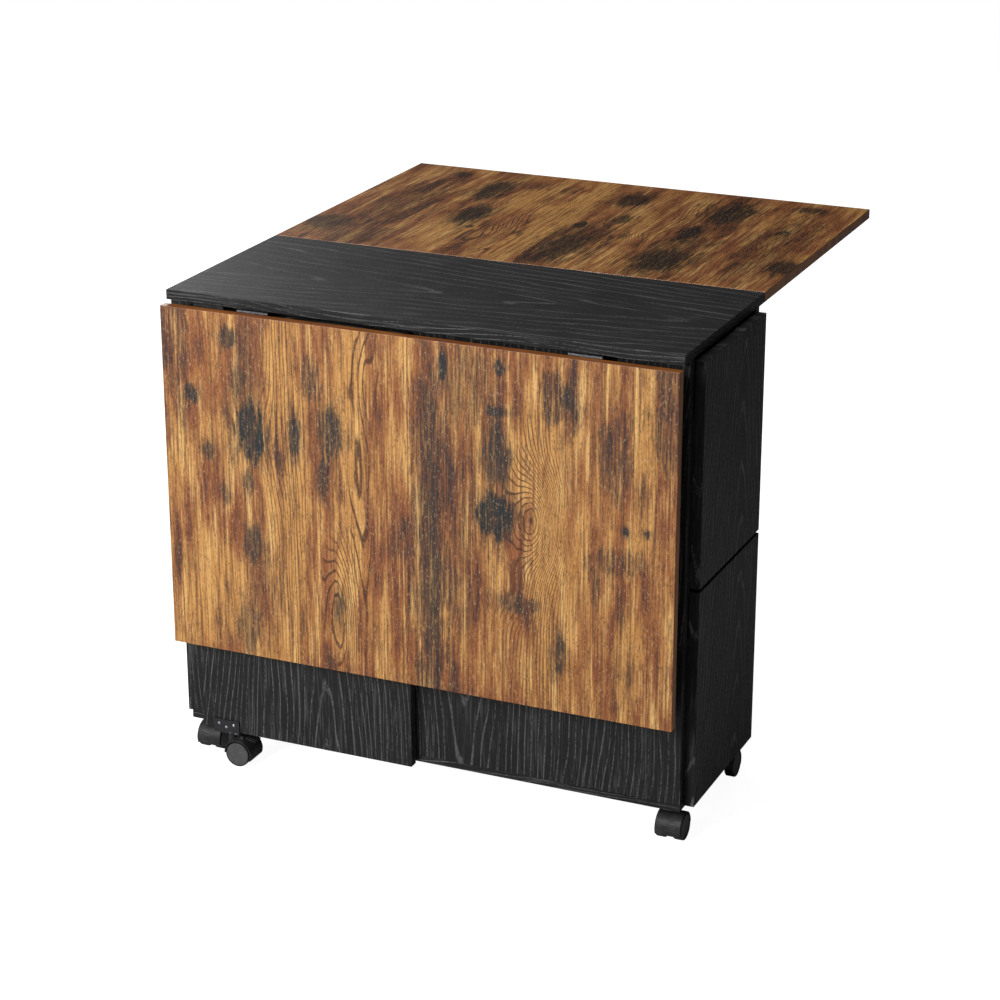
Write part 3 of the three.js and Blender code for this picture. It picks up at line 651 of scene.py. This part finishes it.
def drawer_box(name, body):
    """Four walls in place of a measured drawer box, butted with a hairline between."""
    low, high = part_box(f"{name}_box")
    bm = bmesh.new()
    for y0, y1 in ((low.y, low.y + WALL), (high.y - WALL, high.y)):
        add_block(bm, (low.x, y0, low.z), (high.x, y1, high.z), 0.0005)
    inner = (low.y + WALL + HAIRLINE, high.y - WALL - HAIRLINE)
    for x0, x1 in ((low.x, low.x + WALL), (high.x - WALL, high.x)):
        add_block(bm, (x0, inner[0], low.z), (x1, inner[1], high.z), 0.0005)
    made = piece(f"{name}_walls", bm, body, "drawer_board", drawer_foil)
    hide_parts(f"{name}_box")


for end in ("left", "right"):
    for level in ("upper", "lower"):
        name = f"{end}_{level}_drawer"
        board(f"{name}_front", name, "x", "black_laminate",
              (black_ends, black_edge, black_edge_upright), upright="y")
        drawer_box(name, name)
print("drawers: 4 fronts and 4 boxes")

# %% [markdown]
# ## Casters
#
# A twin-wheel caster is a moulded hood over two wheels on one axle, and its stem stands ahead of
# the axle so that it trails. Round things come from a profile spun about an axis: a half section
# for the wheels, and a short bar swept part of the way round for the hood.

# %% Caster sizes and spinning
AXLE = Vector((0.018, 0, 0.020))
HOOD_FROM, HOOD_TO = math.radians(-22), math.radians(182)
HOOD_STEPS = 48
WHEEL_STEPS = 64


def profile(bm, points, closed):
    """Edges through points given as (radius, along the axle), standing on the axle's +X side."""
    verts = [bm.verts.new((AXLE.x + r, y, AXLE.z)) for r, y in points]
    pairs = list(zip(verts, verts[1:] + verts[:1] if closed else verts[1:]))
    return verts + [bm.edges.new(pair) for pair in pairs]


def spun(points, steps, start=0.0, end=2 * math.pi, closed=False):
    """A profile swept round the axle, closed at its ends when it isn't a full turn."""
    bm = bmesh.new()
    whole = end - start > 2 * math.pi - 0.001
    geom = profile(bm, points, closed)
    verts = [g for g in geom if isinstance(g, bmesh.types.BMVert)]
    bmesh.ops.rotate(bm, cent=AXLE, matrix=Matrix.Rotation(-start, 3, "Y"), verts=verts)
    bmesh.ops.spin(bm, geom=geom, cent=AXLE, axis=(0, -1, 0), angle=end - start, steps=steps,
                   use_merge=whole, use_normal_flip=False, use_duplicate=False)
    if not whole:
        bmesh.ops.holes_fill(bm, edges=[e for e in bm.edges if e.is_boundary], sides=0)
    bmesh.ops.remove_doubles(bm, verts=bm.verts, dist=1e-6)
    return bm


def merge_into(bm, other):
    """Adds one bmesh to another and frees it."""
    mesh = bpy.data.meshes.new("passing")
    bmesh.ops.recalc_face_normals(other, faces=other.faces)
    other.to_mesh(mesh)
    other.free()
    bm.from_mesh(mesh)
    bpy.data.meshes.remove(mesh)


def in_mm(points):
    return [(r * MM, y * MM) for r, y in points]


# %% [markdown]
# The wheel's half section runs from the middle of its outer face, over a thin raised rim and a
# rounded tread, and back to the axle on the inside. The rim is what catches the light.

# %% Wheels
HALF_WHEEL = [(0, 19.9), (9, 19.85), (18.1, 19.7), (18.4, 19.2), (18.6, 19.2), (18.8, 20.2), (19.0, 20.5),
              (19.4, 20.5), (19.8, 19.9), (20, 18.9), (20, 8.1), (19.5, 7), (18.6, 6.5),
              (14, 6.5), (13.5, 9.5), (5, 9.5), (4.5, 6.5), (3, 6.5), (3, 0)]
CAP_RADIUS = 0.0184


def wheels_mesh():
    """Both wheels on their axle, with the flat caps in material slot 1."""
    mirrored = [(r, -y) for r, y in reversed(HALF_WHEEL[:-1])]
    bm = spun(in_mm(HALF_WHEEL + mirrored), WHEEL_STEPS)
    for face in bm.faces:
        middle = face.calc_center_median() - AXLE
        if math.hypot(middle.x, middle.z) < CAP_RADIUS:
            face.material_index = 1
    return bm


# %% Hoods
HOOD_BAR = [(21, -19.2), (21, 19.2), (21.4, 19.9), (22.3, 20),
            (23, 19.2), (23, -19.2), (22.3, -20), (21.4, -19.9)]
WEB_BAR = [(3.6, -3.8), (3.6, 3.8), (21.2, 3.8), (21.2, -3.8)]
HUB_BAR = [(3.6, -4), (3.6, 4), (11.4, 4), (12, 3.4), (12, -3.4), (11.4, -4)]
BOSS_RADIUS = 0.0064
BOSS_BOTTOM, BOSS_TOP = 0.0285, 0.049
PEDAL_PIVOT = (math.radians(80), 0.0255)
PEDAL_TIP = (math.radians(38), 0.033)
EAR_SPANS = ((-0.0122, -0.0099), (0.0099, 0.0122))
EAR_HALF_LENGTH, EAR_BELOW, EAR_ABOVE = 0.003, 0.004, 0.0023
TREAD_HALF_WIDTH, RIB_HALF_WIDTH, RIB_HALF_LENGTH = 0.0092, 0.0078, 0.0004
RIB_PARTS = (0.55, 0.68, 0.81, 0.93)


def round_axle(angle, radius):
    return AXLE + Vector((radius * math.cos(angle), 0, radius * math.sin(angle)))


def add_tube(bm, centre, radius, low, high, steps=28, chamfer=0.0006):
    """An upright rod with broken edges."""
    made = bmesh.ops.create_cone(bm, cap_ends=True, segments=steps, radius1=radius, radius2=radius,
                                 depth=high - low)["verts"]
    bmesh.ops.translate(bm, vec=(centre[0], centre[1], (low + high) / 2), verts=made)
    rims = [e for e in {e for v in made for e in v.link_edges}
            if abs(e.verts[0].co.z - e.verts[1].co.z) < 1e-7]
    bmesh.ops.bevel(bm, geom=rims, offset=chamfer, offset_type="OFFSET", segments=2, profile=0.5,
                    affect="EDGES", material=-1, clamp_overlap=True)


def hood_mesh(has_pedal):
    """The cover, its web and hub, the stem's boss and, for a brake, two ears."""
    bm = spun(in_mm(HOOD_BAR), HOOD_STEPS, HOOD_FROM, HOOD_TO, closed=True)
    merge_into(bm, spun(in_mm(WEB_BAR), HOOD_STEPS, HOOD_FROM, HOOD_TO, closed=True))
    merge_into(bm, spun(in_mm(HUB_BAR), 40, closed=True))
    boss = bmesh.new()
    add_tube(boss, (0, 0), BOSS_RADIUS, BOSS_BOTTOM, BOSS_TOP)
    merge_into(bm, boss)
    if has_pedal:
        pivot = round_axle(*PEDAL_PIVOT)
        for y0, y1 in EAR_SPANS:
            low = (pivot.x - EAR_HALF_LENGTH, y0, pivot.z - EAR_BELOW)
            high = (pivot.x + EAR_HALF_LENGTH, y1, pivot.z + EAR_ABOVE)
            add_block(bm, low, high, 0.0005)
    return bm


def pedal_mesh():
    """A tread with grip ribs, hooked on its pivot, tilted from the pivot to the tip."""
    pivot, tip = round_axle(*PEDAL_PIVOT), round_axle(*PEDAL_TIP)
    length = (tip - pivot).length
    bm = bmesh.new()
    add_block(bm, (0, -TREAD_HALF_WIDTH, -0.0010), (length, TREAD_HALF_WIDTH, 0.0006), 0.0004)
    for part in RIB_PARTS:
        low = (length * part - RIB_HALF_LENGTH, -RIB_HALF_WIDTH, 0.0004)
        high = (length * part + RIB_HALF_LENGTH, RIB_HALF_WIDTH, 0.0010)
        add_block(bm, low, high, 0)
    slope = math.atan2(tip.z - pivot.z, tip.x - pivot.x)
    bmesh.ops.rotate(bm, cent=(0, 0, 0), matrix=Matrix.Rotation(-slope, 3, "Y"), verts=bm.verts)
    lying = Matrix.Rotation(RIGHT_ANGLE, 3, "X")
    for radius, depth, sides in ((0.0016, 0.0190, 20), (0.0012, 0.0240, 16)):
        rod = bmesh.ops.create_cone(bm, cap_ends=True, segments=sides, radius1=radius, radius2=radius,
                                    depth=depth)["verts"]
        bmesh.ops.rotate(bm, cent=(0, 0, 0), matrix=lying, verts=rod)
    bmesh.ops.translate(bm, vec=pivot, verts=bm.verts)
    return bm


# %% Six casters in their places
def caster(name, body, wheels_body, place, pedal_body=None):
    """A hood, a wheel pair and, with a body for it, a brake pedal, set in their place."""
    hood = hood_mesh(pedal_body is not None)
    hood.transform(place)
    cover = piece(f"{name}_cover", hood, body, "caster_plastic", caster_black, smooth=True)
    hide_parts(f"{name}_hood")
    wheels = wheels_mesh()
    wheels.transform(place)
    pair = piece(f"{name}_wheel_pair", wheels, wheels_body, "caster_plastic", tread_black, cap_grey,
                 smooth=True)
    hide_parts(f"{name}_wheels")
    if pedal_body:
        pedal = pedal_mesh()
        pedal.transform(place)
        made = piece(f"{name}_pedal", pedal, pedal_body, "caster_plastic", caster_black)
        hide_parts(f"{name}_brake_pedal")


CASTER_X, CASTER_Y = 0.379, 0.095
GATE_STEM = Vector((-0.330, -0.1445, 0))
for corner in ("front_left", "front_right", "rear_left", "rear_right"):
    front, left = corner.startswith("front"), corner.endswith("left")
    spot = (-CASTER_X if left else CASTER_X, CABINET_Y + (-CASTER_Y if front else CASTER_Y), 0)
    trail = Matrix.Rotation(-RIGHT_ANGLE if front else RIGHT_ANGLE, 4, "Z")
    caster(f"{corner}_caster", f"{corner}_caster", f"{corner}_wheels", Matrix.Translation(spot) @ trail)
for side in ("front", "rear"):
    heading = Matrix.Rotation(0 if side == "front" else -RIGHT_ANGLE, 4, "Z")
    place = gate_matrix(side) @ Matrix.Translation(GATE_STEM) @ heading
    caster(f"{side}_gate_caster", f"{side}_gate_caster", f"{side}_gate_wheels", place, f"{side}_brake_pedal")
print("casters: 6")

# %% [markdown]
# ## Screws and rivets
#
# Fasteners are what make hinges and brackets look fixed rather than floating. One small head is
# made by spinning a dome with a driver recess, and copies are turned to face out of the surface
# they hold. The heads of one kind on one body become one piece.

# %% Fastener heads
HEAD = [(0, 0.05), (0.35, 0.05), (0.45, 0.60), (0.75, 0.55),
        (0.95, 0.30), (1.0, 0.0), (0.9, -0.35), (0, -0.35)]
HEAD_STEPS = 14


def add_head(bm, place, facing, radius, height):
    """One head of a radius and a height, at a place, facing a way."""
    head = bmesh.new()
    verts = [head.verts.new((r * radius, 0, z * height)) for r, z in HEAD]
    edges = [head.edges.new(pair) for pair in zip(verts, verts[1:])]
    bmesh.ops.spin(head, geom=verts + edges, cent=(0, 0, 0), axis=(0, 0, 1), angle=2 * math.pi,
                   steps=HEAD_STEPS, use_merge=True, use_normal_flip=False, use_duplicate=False)
    bmesh.ops.remove_doubles(head, verts=head.verts, dist=1e-7)
    turn = Vector((0, 0, 1)).rotation_difference(Vector(facing)).to_matrix().to_4x4()
    spin = Matrix.Rotation(chance.uniform(0, math.pi), 4, "Z")
    head.transform(Matrix.Translation(place) @ turn @ spin)
    merge_into(bm, head)


def heads(name, body, matrix, places, facing, radius, height, finish_used, slot):
    """One piece made of all the heads that face one way on one body."""
    bm = bmesh.new()
    for place in places:
        add_head(bm, place, facing, radius, height)
    bm.transform(matrix)
    return piece(name, bm, body, slot, finish_used, smooth=True)


LEAF_HINGE_X = 0.257
LEAF_HINGE_SPOTS = ((-0.017, 0.016), (0.0, 0.011), (0.017, 0.016))
GATE_HINGE_HEIGHTS = (0.620, 0.250)
GATE_HINGE_SPACING = 0.022
TOP_UNDERSIDE = 0.735
PANEL_FACE_Y, GATE_FACE_Y = -0.1435, -0.1605
GATE_HINGE_FIXED_REACH, GATE_HINGE_REACH = 0.014, 0.0085
KNUCKLE_RADIUS = 0.0032
PLATE_GAP = 0.0003
PLATE = 0.0015
BRACKET_PLATE = 0.0025
BRACKET_SPREAD = 0.0125
BRACKET_SCREWS = {"outer": 0.0672, "middle": 0.0625}
RIVET_OFFSETS, RIVET_HEIGHT = (0.0065, 0.0160), 0.0537

# Radius and height of each kind of head
HINGE_SCREW = (0.0026, 0.0009)
SMALL_SCREW = (0.0024, 0.0008)
BRACKET_SCREW = (0.0022, 0.0009)
RIVET = (0.0015, 0.0016)

for side in ("front", "rear"):
    spots = [(x + dx, d) for x in (-LEAF_HINGE_X, LEAF_HINGE_X) for dx, d in LEAF_HINGE_SPOTS]
    plate_z = TOP_UNDERSIDE - PLATE_GAP - PLATE
    fixed = [(x, LEAF_PIN.y + d, plate_z) for x, d in spots]
    heads(f"{side}_leaf_hinge_fixed_screws", "cabinet", side_matrix(side), fixed, (0, 0, -1),
          *HINGE_SCREW, bright_screw, "hinge_steel")
    moving = [(x, LEAF_PIN.y - d, plate_z) for x, d in spots]
    heads(f"{side}_leaf_hinge_moving_screws", f"{side}_leaf", leaf_matrix(side), moving, (0, 0, -1),
          *HINGE_SCREW, bright_screw, "hinge_steel")
    rows = (-GATE_HINGE_SPACING, 0, GATE_HINGE_SPACING)
    heights = [z + dz for z in GATE_HINGE_HEIGHTS for dz in rows]
    fixed = [(GATE_PIN.x + GATE_HINGE_FIXED_REACH, PANEL_FACE_Y - PLATE_GAP - PLATE, z) for z in heights]
    heads(f"{side}_gate_hinge_fixed_screws", "cabinet", side_matrix(side), fixed, (0, -1, 0),
          *HINGE_SCREW, bright_screw, "hinge_steel")
    moving = [(GATE_PIN.x - KNUCKLE_RADIUS + PLATE, GATE_PIN.y - GATE_HINGE_REACH, z) for z in heights]
    heads(f"{side}_gate_hinge_moving_screws", f"{side}_gate", gate_matrix(side), moving, (1, 0, 0),
          *SMALL_SCREW, bright_screw, "hinge_steel")
    face_y = GATE_FACE_Y - PLATE_GAP - BRACKET_PLATE
    bracket = [(GATE_STEM.x - BRACKET_SPREAD, face_y, BRACKET_SCREWS["outer"]),
               (GATE_STEM.x, face_y, BRACKET_SCREWS["middle"]),
               (GATE_STEM.x + BRACKET_SPREAD, face_y, BRACKET_SCREWS["outer"])]
    heads(f"{side}_gate_bracket_screws", f"{side}_gate", gate_matrix(side), bracket, (0, -1, 0),
          *BRACKET_SCREW, bright_screw, "caster_steel")
    rivets = [(GATE_STEM.x + dx, face_y, RIVET_HEIGHT) for dx in RIVET_OFFSETS]
    heads(f"{side}_gate_bracket_rivets", f"{side}_gate", gate_matrix(side), rivets, (0, -1, 0),
          *RIVET, bright_screw, "caster_steel")
fasteners = [made for made in bpy.data.objects if made.name.endswith(("_screws", "_rivets"))]
print("fastener pieces:", len(fasteners))

# %% [markdown]
# ## Finishes for the measured parts that stay
#
# Hinge leaves, caster plates and a few inner boards are already the right shape. They keep their
# measured mesh and only take a better finish, by the words in their names.

# %% Finishing the measured parts
KEPT_FINISHES = (("hinge", hinge_steel), ("caster_plate", dark_steel), ("bracket", dark_steel),
                 ("drawer_bottom", hardboard), ("bottom_board", black_edge), ("divider", black_inner),
                 ("shelf", black_inner))
for name, node in frame["nodes"].items():
    if node.hide_render:
        continue
    found = [material for word, material in KEPT_FINISHES if word in name]
    node.data.materials.clear()
    node.data.materials.append(found[0])
print("measured parts still shown:", len([n for n in frame["nodes"].values() if not n.hide_render]))

# %% [markdown]
# ## A pale studio
#
# Product pictures are taken on a white sweep. Here a flat floor glows for the camera alone, so it
# looks white without lighting the cart. A large soft light from the front left shapes the boards,
# a weaker one fills the top, a third skims the tops from behind, and the right end is left to
# fall dark so that the cabinet reads as a box.

# %% Studio
def area_light(name, place, target, size, watts):
    """A soft rectangular light that looks at a target."""
    data = bpy.data.lights.new(name, "AREA")
    data.shape = "RECTANGLE"
    data.size, data.size_y = size
    data.energy = watts
    made = bpy.data.objects.new(name, data)
    made.location = place
    made.rotation_euler = (Vector(target) - Vector(place)).to_track_quat("-Z", "Y").to_euler()
    bpy.context.scene.collection.objects.link(made)
    return made


FLOOR_GLOW = 0.95
ROOM_LIGHT = 0.052
FLOOR_SIZE = 40
floor = bmesh.new()
bmesh.ops.create_grid(floor, x_segments=1, y_segments=1, size=FLOOR_SIZE)
floor_mesh = bpy.data.meshes.new("studio_floor")
floor.to_mesh(floor_mesh)
floor.free()
studio_floor = bpy.data.objects.new("studio_floor", floor_mesh)
bpy.context.scene.collection.objects.link(studio_floor)
floor_finish, desk, place, shader = finish("pale floor", specular=0.1)
floor_tint = desk.noise(place, (0.001, 0.001, 0.001), 2)
desk.put(shader["Base Color"], desk.blend(floor_tint, paint("CDCDCD"), paint("D2D2D2")))
desk.put(shader["Roughness"], desk.step(desk.noise(place, (0.01, 0.01, 0.01), 2), 0.3, 0.7, 0.7, 0.8))
shader["Emission Color"].default_value = (1, 1, 1, 1)
seen = desk.node("ShaderNodeLightPath").outputs["Is Camera Ray"]
desk.put(shader["Emission Strength"], desk.mul(seen, FLOOR_GLOW))
floor_mesh.materials.append(floor_finish)

world = bpy.data.worlds.new("white room")
world.use_nodes = True
world.node_tree.nodes.clear()
desk = Desk(world.node_tree)
seen = desk.node("ShaderNodeLightPath").outputs["Is Camera Ray"]
strength = desk.add(desk.mul(seen, 1 - ROOM_LIGHT), ROOM_LIGHT)
backdrop = desk.node("ShaderNodeBackground", {"Color": (1, 1, 1, 1), "Strength": strength})
desk.node("ShaderNodeOutputWorld", {"Surface": backdrop.outputs[0]})
bpy.context.scene.world = world

MIDDLE = (0, -0.2, 0.45)
area_light("key from the front left", (-1.5, -3.6, 2.2), MIDDLE, (1.8, 1.8), 150)
area_light("soft top", (-0.4, 0.4, 3.4), MIDDLE, (2.4, 2.4), 22)
area_light("low back left", (-2.9, 2.6, 1.9), MIDDLE, (1.2, 1.2), 30)

LENS = 96.70
CAMERA_PLACE = (1.5576, -3.6622, 1.8230)
CAMERA_TURN = (math.radians(69.562), 0, math.radians(23.792))
camera_data = bpy.data.cameras.new("camera")
camera_data.lens = LENS
camera = bpy.data.objects.new("camera", camera_data)
camera.location = CAMERA_PLACE
camera.rotation_euler = CAMERA_TURN
bpy.context.scene.collection.objects.link(camera)
bpy.context.scene.camera = camera
bpy.context.scene.view_settings.view_transform = "Standard"
print("lights:", len(bpy.data.lights))
